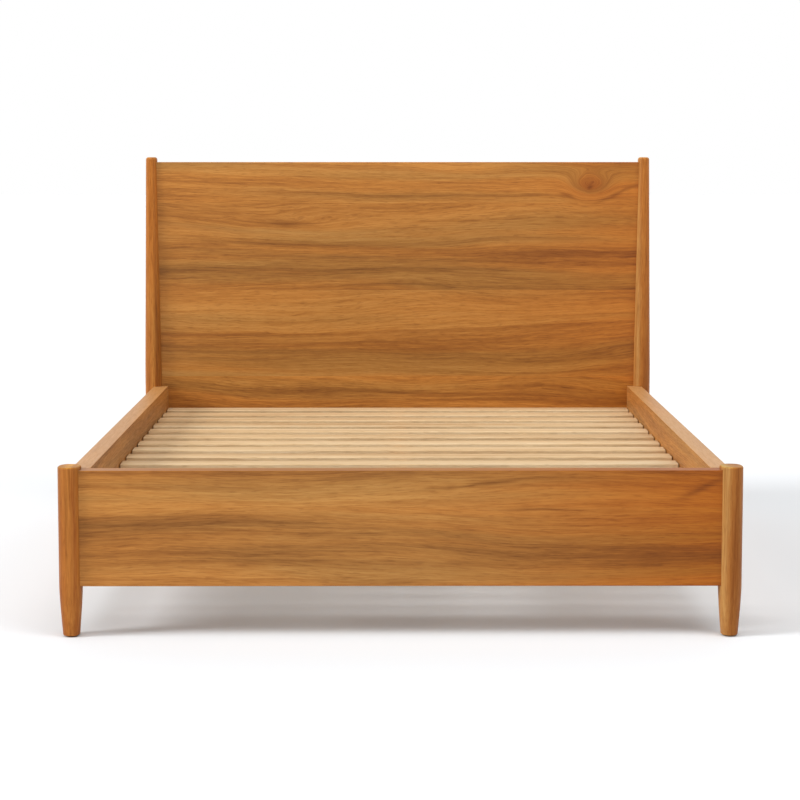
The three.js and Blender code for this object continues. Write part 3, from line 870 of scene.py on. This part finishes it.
SCREW_HEAD_RADIUS = 0.0042
SCREW_HEAD_HEIGHT = 0.0024
SCREW_HEAD_STEPS = 6
SCREW_HEAD_ARC = math.radians(74)
SCREW_SHANK_RADIUS = 0.0020
SCREW_TIP_RADIUS = 0.0006
SCREW_POINT = 0.004
SCREW_FACETS = 32
# A pan head's underside and rim, as shares of its radius and its height.
PAN_UNDERSIDE = 0.97
PAN_RIM = 0.15
# The outline of a countersunk head: (share of its radius, height above the wood).
FLUSH_OUTLINE = [(0.96, -0.0002), (1.0, 0.0001), (0.97, GAP)]
FLUSH_DEPTH = 0.0026
RECESS_DEPTH = 0.0012
RECESS_SLOT = 0.22
PAN_RECESS = 0.55
FLUSH_RECESS = 0.5

BOLT_RADIUS = 0.004
BOLT_POINT = 0.0006
BOLT_HEAD_HEIGHT = 0.0045
BOLT_SOCKET_RADIUS = 0.006 / math.sqrt(3)
BOLT_SOCKET_DEPTH = 0.0025
# The edge of the bolt's head: (share of its radius, height above its underside).
BOLT_CROWN = [(0.94, 0.0), (1.0, 0.0004), (1.0, 0.0030), (0.97, 0.0038), (0.90, 0.0043), (0.82, 0.0045)]


def cross_recess(radius, top):
    half = radius * RECESS_SLOT
    low, high = top - RECESS_DEPTH, top + RECESS_DEPTH
    return [
        box_between((-radius, -half, low), (radius, half, high)),
        box_between((-half, -radius, low), (half, radius, high)),
    ]


def pan_screw(length):
    """A pan-head wood screw: its head stands on Z = 0 and its shank points down."""
    profile = [(SCREW_TIP_RADIUS, -length), (SCREW_SHANK_RADIUS, SCREW_POINT - length)]
    profile += [(SCREW_SHANK_RADIUS, 0.0), (SCREW_HEAD_RADIUS * PAN_UNDERSIDE, 0.0)]
    for step in range(SCREW_HEAD_STEPS + 1):
        turn = step / SCREW_HEAD_STEPS * SCREW_HEAD_ARC
        rise = PAN_RIM + (1 - PAN_RIM) * math.sin(turn)
        profile.append((SCREW_HEAD_RADIUS * math.cos(turn), SCREW_HEAD_HEIGHT * rise))
    recess = cross_recess(SCREW_HEAD_RADIUS * PAN_RECESS, SCREW_HEAD_HEIGHT)
    return cut(turned(profile, SCREW_FACETS), recess)


def flush_screw(length):
    """A countersunk wood screw: its flat head ends just above Z = 0."""
    profile = [(SCREW_TIP_RADIUS, -length), (SCREW_SHANK_RADIUS, SCREW_POINT - length)]
    profile.append((SCREW_SHANK_RADIUS, -FLUSH_DEPTH))
    profile += [(SCREW_HEAD_RADIUS * share, z) for share, z in FLUSH_OUTLINE]
    recess = cross_recess(SCREW_HEAD_RADIUS * FLUSH_RECESS, GAP)
    return cut(turned(profile, SCREW_FACETS), recess)


def connector_bolt(node, end):
    """A low socket-head bolt that replaces a plain one. It points away from the mattress."""
    low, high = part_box(node)
    outward = ENDS[end]
    head_radius = (high.x - low.x) / 2
    length = high.y - low.y
    head = length - BOLT_HEAD_HEIGHT
    profile = [(BOLT_RADIUS - BOLT_POINT, 0.0), (BOLT_RADIUS, BOLT_POINT), (BOLT_RADIUS, head)]
    profile += [(head_radius * share, head + rise) for share, rise in BOLT_CROWN]
    socket = [(BOLT_SOCKET_RADIUS, z) for z in (length - BOLT_SOCKET_DEPTH, length + CUT_REACH)]
    bolt = cut(turned(profile), [turned(socket, 6)])
    tip_y = high.y if outward > 0 else low.y
    tip = Vector(((low.x + high.x) / 2, tip_y, (low.z + high.z) / 2))
    bolt.transform(facing(tip, (0, -outward, 0)))
    return bolt


def build_bolts():
    for end, side in CORNERS:
        for level in LEVELS:
            node = f"rail_bolt_{end}_{side}_{level}"
            bolt = connector_bolt(node, end)
            new_piece(f"{node}_socket_head", bolt, "black_steel", [node])


# ---- Corner angles ----

ANGLE_SHEET = 0.003
ANGLE_BEND = 0.006
ANGLE_CORNER = 0.008
ANGLE_STEPS = 8
ANGLE_HOLE_INSET = 0.034
ANGLE_HOLE_RISE = 0.032
ANGLE_SCREW_HOLE_RADIUS = 0.0026
ANGLE_BOLT_HOLE_RADIUS = 0.0043
ANGLE_SCREW_LENGTH = 0.025
# Every screw stops at a turn of its own, in radians.
ANGLE_SCREW_TURNS = (-2.5, 3.5)


def bent_outline(leg, sheet, bend):
    """Plan of a bent angle whose outer faces lie on the X and Y axes."""
    centre = Vector((bend, bend, 0))
    quarter = math.pi / 2
    turns = [quarter * (3 - i / ANGLE_STEPS) for i in range(ANGLE_STEPS + 1)]
    ways = [Vector((math.cos(t), math.sin(t), 0)) for t in turns]
    outline = [Vector((leg, 0, 0)), Vector((leg, sheet, 0))]
    outline += [centre + way * (bend - sheet) for way in ways]
    outline += [Vector((sheet, leg, 0)), Vector((0, leg, 0))]
    outline += [centre + way * bend for way in reversed(ways)]
    return outline


def hole(radius, spot, reach):
    """A round cutter through spot that runs as far as reach to both sides."""
    return rod(radius, Vector(spot) - Vector(reach), Vector(spot) + Vector(reach))


def corner_angle(node, end, side):
    low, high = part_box(node)
    across, along = SIDES[side], ENDS[end]
    heel = Vector((high.x if across > 0 else low.x, high.y if along > 0 else low.y, 0))
    leg = high.x - low.x
    outline = bent_outline(leg, ANGLE_SHEET, ANGLE_BEND)
    placed = [Vector((heel.x - across * p.x, heel.y - along * p.y, 0)) for p in outline]
    if across * along > 0:
        placed.reverse()
    shape = loft([[p + Vector((0, 0, z)) for p in placed] for z in (low.z, high.z)])
    tips = [edge for edge in shape.edges if is_tip_edge(edge, heel, leg - ANGLE_SHEET)]
    rounding = {"offset": ANGLE_CORNER, "segments": ANGLE_STEPS, "profile": 0.5}
    bmesh.ops.bevel(shape, geom=tips, affect="EDGES", **rounding)
    bmesh.ops.recalc_face_normals(shape, faces=shape.faces)
    middle = (low.z + high.z) / 2
    holes = []
    for rise in (-ANGLE_HOLE_RISE, ANGLE_HOLE_RISE):
        z = middle + rise
        x = heel.x - across * ANGLE_HOLE_INSET
        y = heel.y - along * ANGLE_HOLE_INSET
        holes.append(hole(ANGLE_BOLT_HOLE_RADIUS, (x, heel.y, z), (0, CUT_REACH, 0)))
        holes.append(hole(ANGLE_SCREW_HOLE_RADIUS, (heel.x, y, z), (CUT_REACH, 0, 0)))
    return cut(shape, holes)


def is_tip_edge(edge, heel, far):
    """True for the short level edges across the sheet at the ends of both legs."""
    a, b = (v.co for v in edge.verts)
    level = abs(a.z - b.z) < WELD_DISTANCE
    short = (a - b).length < ANGLE_SHEET + GAP
    away = all(max(abs(p.x - heel.x), abs(p.y - heel.y)) > far for p in (a, b))
    return level and short and away


def build_corners():
    for end, side in CORNERS:
        node = f"corner_angle_{end}_{side}"
        angle = corner_angle(node, end, side)
        new_piece(f"{node}_bent", angle, "zinc_steel", [node], bevel=EDGE_ROUNDING["zinc_steel"])
        low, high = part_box(node)
        across, along = SIDES[side], ENDS[end]
        face_x = (high.x if across > 0 else low.x) - across * ANGLE_SHEET
        y = (high.y if along > 0 else low.y) - along * ANGLE_HOLE_INSET
        middle = (low.z + high.z) / 2
        places = [
            facing((face_x, y, middle + way * ANGLE_HOLE_RISE), (-across, 0, 0), turn)
            for way, turn in zip((-1, 1), ANGLE_SCREW_TURNS)
        ]
        screws = copies(pan_screw(ANGLE_SCREW_LENGTH), places)
        new_piece(f"angle_screws_{end}_{side}", screws, "zinc_steel")


# ---- Stirrups, leg plates and ledger screws ----

STIRRUP_SHEET = 0.0025
STIRRUP_SCREW_HEIGHTS = (0.3, 0.7)
STIRRUP_SCREW_LENGTH = 0.022
PLATE_HOLE_X = 0.012
PLATE_HOLE_Y = 0.044
PLATE_SCREW_LENGTH = 0.030
LEDGER_SCREWS = 8
LEDGER_SCREW_HEIGHTS = (0.58, 0.42)
LEDGER_SCREW_LENGTH = 0.040
LEDGER_SCREW_TURN = 1.3
SLAT_SCREW_LENGTH = 0.035
SLAT_SCREW_TURN = 0.7


def stirrup_screws():
    for end, along in ENDS.items():
        low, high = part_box(f"beam_stirrup_{end}")
        beam_low, beam_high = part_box("centre_beam")
        outer = (beam_high.x - beam_low.x) / 2 + GAP + STIRRUP_SHEET
        half = (high.x - low.x) / 2
        wall = (high.y if along > 0 else low.y) - along * STIRRUP_SHEET
        places = []
        for across in SIDES.values():
            for share in STIRRUP_SCREW_HEIGHTS:
                spot = (across * (outer + half) / 2, wall, low.z + share * (high.z - low.z))
                places.append(facing(spot, (0, -along, 0), across + share))
        screws = copies(pan_screw(STIRRUP_SCREW_LENGTH), places)
        new_piece(f"stirrup_screws_{end}", screws, "zinc_steel")


def plate_screws():
    for end in ENDS:
        node = f"leg_plate_{end}"
        under = middle_of(node) + Vector((0, 0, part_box(node)[0].z))
        places = [
            facing(under + Vector((sx * PLATE_HOLE_X, sy * PLATE_HOLE_Y, 0)), (0, 0, -1), sx + 2 * sy)
            for sx in (-1, 1)
            for sy in (-1, 1)
        ]
        screws = copies(pan_screw(PLATE_SCREW_LENGTH), places)
        new_piece(f"leg_plate_screws_{end}", screws, "zinc_steel")


def ledger_screws():
    for side, across in SIDES.items():
        low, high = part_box(f"slat_ledger_{side}")
        face = low.x if across > 0 else high.x
        reach = high.y - low.y
        places = []
        for i in range(LEDGER_SCREWS):
            y = low.y + reach * (i + 0.5) / LEDGER_SCREWS
            z = low.z + (high.z - low.z) * LEDGER_SCREW_HEIGHTS[i % 2]
            places.append(facing((face, y, z), (-across, 0, 0), i * LEDGER_SCREW_TURN))
        screws = copies(flush_screw(LEDGER_SCREW_LENGTH), places)
        new_piece(f"ledger_screws_{side}", screws, "zinc_steel")


def slat_screws():
    """The first and the last slat are screwed to the ledgers, so the row can't slide."""
    places = []
    for name in (SLATS[0], SLATS[-1]):
        for side, across in SIDES.items():
            x = middle_of(f"slat_ledger_{side}").x
            spot = (x, middle_of(name).y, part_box(name)[1].z)
            places.append(facing(spot, (0, 0, 1), across * SLAT_SCREW_TURN))
    screws = copies(flush_screw(SLAT_SCREW_LENGTH), places)
    new_piece("slat_screws", screws, "zinc_steel")


# ---- Straps ----

STRAP_EDGE = 0.0004
STRAP_SAG = 0.0035
SAG_STEPS = 10
STAPLE_CROWN = 0.0095
STAPLE_WIRE = 0.0006
STAPLE_LEG = 0.004
STAPLE_SHIFT = 0.018
STAPLE_SKEW = 0.06


def strap_line(low, high):
    """Height of the strap along the bed: tight under each slat, slack between."""
    centres = [(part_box(name)[0].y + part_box(name)[1].y) / 2 for name in SLATS]
    half = (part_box(SLATS[0])[1].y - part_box(SLATS[0])[0].y) / 2
    line = [(low.y, 0.0)]
    for here, after in zip(centres, centres[1:]):
        gap = after - here - 2 * half
        line.append((here + half, 0.0))
        for i in range(1, SAG_STEPS):
            share = i / SAG_STEPS
            line.append((here + half + gap * share, -STRAP_SAG * math.sin(math.pi * share) ** 2))
        line.append((after - half, 0.0))
    line.append((high.y, 0.0))
    return line


def build_straps():
    for side in SIDES:
        node = f"slat_strap_{side}"
        low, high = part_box(node)
        line = strap_line(low, high)
        edge = STRAP_EDGE
        rings = []
        for y, drop in line:
            top, bottom = high.z + drop, low.z + drop
            section = [(low.x, bottom + edge), (low.x + edge, bottom), (high.x - edge, bottom)]
            section += [(high.x, bottom + edge), (high.x, top - edge), (high.x - edge, top)]
            section += [(low.x + edge, top), (low.x, top - edge)]
            rings.append([Vector((x, y, z)) for x, z in section])
        shape = loft(rings)
        bmesh.ops.recalc_face_normals(shape, faces=shape.faces)
        strap = new_piece(f"{node}_webbing", shape, "strap_webbing", [node])
        strap_staples(side, low, high)


def staple_body():
    """A flat-wire staple: its crown lies just above Z = 0 and its legs point down."""
    half = STAPLE_CROWN / 2
    wire = STAPLE_WIRE
    rise = STAPLE_WIRE / 3
    left = [(-half, -STAPLE_LEG), (-half, rise), (-half + wire, wire)]
    right = [(-x, z) for x, z in reversed(left)]
    section = [(-wire, -wire / 2), (wire, -wire / 2), (wire, wire / 2), (-wire, wire / 2)]
    rings = []
    for x, z in left + right:
        if z == -STAPLE_LEG:
            rings.append([Vector((x + b, a, z)) for a, b in section])
        else:
            rings.append([Vector((x, a, z + b)) for a, b in section])
    staple = loft(rings)
    bmesh.ops.recalc_face_normals(staple, faces=staple.faces)
    return staple


def strap_staples(side, low, high):
    """Two staples hold the strap to each slat."""
    centre_x = (low.x + high.x) / 2
    places = []
    for name in SLATS:
        for way in (-1, 1):
            spot = (centre_x, middle_of(name).y + way * STAPLE_SHIFT, low.z)
            places.append(facing(spot, (0, 0, -1), way * STAPLE_SKEW))
    staples = copies(staple_body(), places)
    new_piece(f"strap_staples_{side}", staples, "zinc_steel")


# ---- Levellers and glides ----

THREAD_RADIUS = 0.004
THREAD_PITCH = 0.00125
THREAD_DEPTH = 0.0006
THREAD_RUN_OUT = 0.0012
THREAD_CREST = 0.2
THREAD_FACETS = 32
THREAD_STEPS = 8
NUT_BOTTOM = 0.011
NUT_TOP = 0.017
NUT_CHAMFER = 0.001
# Shares of the nut's corner radius that the chamfer leaves on its faces and clears.
NUT_FACE = 0.90
NUT_CLEAR = 1.01
COLLAR_RADIUS = 0.0036
COLLAR_TIP = 0.0004
# Turned rims: (how far inside the full radius, height).
PAD_FOOT = [(0.0018, 0.0), (0.0006, 0.0003), (0.0, 0.0012)]
PAD_SHOULDER = [(0.0, 0.0038), (0.0005, 0.0048), (0.0020, 0.0058)]
GLIDE_FOOT = [(0.0014, 0.0), (0.0005, 0.0003), (0.0, 0.0010)]
GLIDE_SHOULDER = 0.0004
# Turned outlines: (radius, height).
PAD_NECK = [(0.0150, 0.0072), (0.0118, 0.0078), (0.0105, 0.0086), (0.0097, 0.0098)]
PAD_TOP_RADIUS = 0.0092
PAD_RECESS = [(0.0150, -0.001), (0.0142, 0.0008)]
NAIL_RECESS = [(0.0046, -0.001), (0.0040, 0.0014)]
NAIL_HEAD = [(0.0022, 0.0015), (0.0034, 0.0007), (0.0036, 0.0015)]
PAD_SOCKET_RADIUS = 0.0046
PAD_SOCKET_BOTTOM = 0.004
TURNED_FACETS = 96


def threaded_rod(radius, bottom, top):
    """A right-hand thread: the radius rises and falls along the helix."""
    rings = []
    count = math.ceil((top - bottom) / THREAD_PITCH * THREAD_STEPS)
    for i in range(count + 1):
        z = bottom + (top - bottom) * i / count
        ease = min(1.0, (z - bottom) / THREAD_RUN_OUT, (top - z) / THREAD_RUN_OUT)
        ring = []
        for k in range(THREAD_FACETS):
            turn = 2 * math.pi * k / THREAD_FACETS
            phase = (z / THREAD_PITCH - turn / (2 * math.pi)) % 1.0
            flank = (1 - abs(2 * phase - 1)) / (1 - THREAD_CREST)
            r = radius - THREAD_DEPTH * (1 - min(1.0, flank) * ease)
            ring.append(Vector((r * math.cos(turn), r * math.sin(turn), z)))
        rings.append(ring)
    return loft(rings)


def leveller_stem(node):
    low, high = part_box(node)
    corner = (high.y - low.y) / 2
    collar = [(COLLAR_RADIUS - COLLAR_TIP, low.z), (COLLAR_RADIUS, low.z + 2 * COLLAR_TIP)]
    collar = turned([*collar, (COLLAR_RADIUS, NUT_BOTTOM + NUT_CHAMFER)], ROUND_FACETS)
    nut = turned([(corner, NUT_BOTTOM), (corner, NUT_TOP)], 6)
    chamfer = [
        (corner * NUT_FACE, NUT_BOTTOM - GAP),
        (corner * NUT_CLEAR, NUT_BOTTOM + NUT_CHAMFER),
        (corner * NUT_CLEAR, NUT_TOP - NUT_CHAMFER),
        (corner * NUT_FACE, NUT_TOP + GAP),
    ]
    nut = combine(nut, [turned(chamfer)], "INTERSECT")
    thread = threaded_rod(THREAD_RADIUS, NUT_TOP - GAP, high.z)
    whole = joined([collar, nut, thread])
    whole.transform(Matrix.Translation(middle_of(node)))
    return whole


def leveller_pad(node):
    low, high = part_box(node)
    radius = (high.x - low.x) / 2
    profile = [(radius - inset, z) for inset, z in PAD_FOOT + PAD_SHOULDER]
    profile += [*PAD_NECK, (PAD_TOP_RADIUS, high.z)]
    socket = rod(PAD_SOCKET_RADIUS, (0, 0, PAD_SOCKET_BOTTOM), (0, 0, high.z + CUT_REACH))
    pad = cut(turned(profile, TURNED_FACETS), [socket, turned(PAD_RECESS)])
    pad.transform(Matrix.Translation(middle_of(node)))
    return pad


def build_levellers():
    for end in ENDS:
        stem = f"leveller_stem_{end}"
        pad = f"leveller_pad_{end}"
        new_piece(f"{stem}_threaded", leveller_stem(stem), "zinc_steel", [stem], stem)
        new_piece(f"{pad}_moulded", leveller_pad(pad), "glide_plastic", [pad], pad)


def build_glides():
    for end, side in CORNERS:
        node = f"post_glide_{end}_{side}"
        low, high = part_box(node)
        radius = (high.x - low.x) / 2
        profile = [(radius - inset, low.z + rise) for inset, rise in GLIDE_FOOT]
        profile += [(radius, high.z - GLIDE_SHOULDER), (radius - GLIDE_SHOULDER, high.z)]
        recess = turned([(inner, low.z + rise) for inner, rise in NAIL_RECESS], ROUND_FACETS)
        glide = cut(turned(profile, TURNED_FACETS), [recess])
        centre = Matrix.Translation(middle_of(node))
        glide.transform(centre)
        new_piece(f"{node}_moulded", glide, "glide_plastic", [node])
        nail = turned([(wide, low.z + rise) for wide, rise in NAIL_HEAD], SCREW_FACETS)
        nail.transform(centre)
        new_piece(f"glide_nail_{end}_{side}", nail, "zinc_steel")


# ---- CAD pieces that keep their shape ----


def dress_cad_nodes():
    looks = {
        "headboard_panel": "headboard",
        "footboard_panel": "footboard",
        "side_rail": "rail",
        "slat_ledger": "ledger",
        "slat_": "slat",
        "centre_beam": "ledger",
        "centre_leg": "leg",
        "beam_stirrup": "zinc_steel",
        "leg_plate": "zinc_steel",
        "leg_insert": "zinc_steel",
    }
    for name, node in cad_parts.items():
        if node.hide_render:
            continue
        look = next(look for start, look in looks.items() if name.startswith(start))
        node.data.materials.clear()
        node.data.materials.append(MATERIALS[look])
        smooth(node, EDGE_ROUNDING.get(look, 0.0))


# ---- Studio ----

# Brightness of the sky: what the camera sees, all round the bed, and past the headboard.
SKY_SEEN = 1.0
SKY_LEVEL = 0.28
SKY_BEHIND = 0.95
# Where the sky starts to brighten towards the headboard's side, and where it is brightest.
SKY_TURN = (0.2, 0.8)
FLOOR_COLOUR = rgb(0.78, 0.80, 0.82)
FLOOR_HALF_SIZE = 60.0

# Each light: the direction towards it, its strength and its apparent width in degrees.
LIGHTS = {
    "key": ((-0.85, -0.28, 0.45), 2.3, 20),
    "fill": ((0.70, -0.50, 0.50), 0.8, 40),
    "overhead": ((0.0, -0.30, 0.95), 1.6, 60),
}


def build_floor():
    """A pale floor that the camera sees through from below."""
    bm = bmesh.new()
    bmesh.ops.create_grid(bm, x_segments=1, y_segments=1, size=FLOOR_HALF_SIZE)
    floor = add_object("floor", mesh_of(bm, "floor"))
    material, sh = new_material("studio_floor")
    diffuse = sh.node("ShaderNodeBsdfDiffuse", {"Color": FLOOR_COLOUR})
    clear = sh.node("ShaderNodeBsdfTransparent")
    seen = sh.node("ShaderNodeLightPath").outputs["Is Camera Ray"]
    below = sh.node("ShaderNodeNewGeometry").outputs["Backfacing"]
    hidden = sh.times(seen, below)
    shader = sh.node("ShaderNodeMixShader", {0: hidden, 1: diffuse.outputs[0], 2: clear.outputs[0]})
    sh.node("ShaderNodeOutputMaterial", {"Surface": shader.outputs[0]})
    floor.data.materials.append(material)


def build_world():
    world = bpy.data.worlds.new("studio")
    bpy.context.scene.world = world
    sh = Shader(world)
    direction = sh.axes(sh.node("ShaderNodeTexCoord").outputs["Generated"])
    level = sh.spread(direction[1], *SKY_TURN, SKY_LEVEL, SKY_BEHIND)
    light = sh.node("ShaderNodeBackground", {"Color": rgb(1, 1, 1), "Strength": level})
    seen = sh.node("ShaderNodeBackground", {"Color": rgb(1, 1, 1), "Strength": SKY_SEEN})
    camera = sh.node("ShaderNodeLightPath").outputs["Is Camera Ray"]
    shader = sh.node("ShaderNodeMixShader", {0: camera, 1: light.outputs[0], 2: seen.outputs[0]})
    sh.node("ShaderNodeOutputWorld", {"Surface": shader.outputs[0]})


def build_lights():
    for name, (towards, strength, width) in LIGHTS.items():
        lamp = bpy.data.lights.new(name, "SUN")
        lamp.energy = strength
        lamp.angle = math.radians(width)
        light = add_object(name, lamp)
        light.rotation_euler = Vector(towards).to_track_quat("Z", "Y").to_euler()


# The camera stands in front of the foot, a little above the headboard, and looks down.
CAMERA_PLACE = (-0.0266, -6.7471, 1.1947)
CAMERA_DOWN = math.radians(6.0587)
CAMERA_RIGHT = math.radians(0.2524)
CAMERA_LENS = 104.69


def build_camera():
    data = bpy.data.cameras.new("camera")
    data.sensor_width = 36.0
    data.lens = CAMERA_LENS
    data.clip_end = 200.0
    camera = add_object("camera", data)
    camera.location = CAMERA_PLACE
    camera.rotation_euler = Euler((math.pi / 2 - CAMERA_DOWN, 0.0, -CAMERA_RIGHT))
    bpy.context.scene.camera = camera


def main():
    build_posts()
    build_bolts()
    build_corners()
    stirrup_screws()
    plate_screws()
    ledger_screws()
    slat_screws()
    build_straps()
    build_levellers()
    build_glides()
    dress_cad_nodes()
    build_floor()
    build_world()
    build_lights()
    build_camera()
    bpy.context.scene.view_settings.view_transform = "Standard"


main()
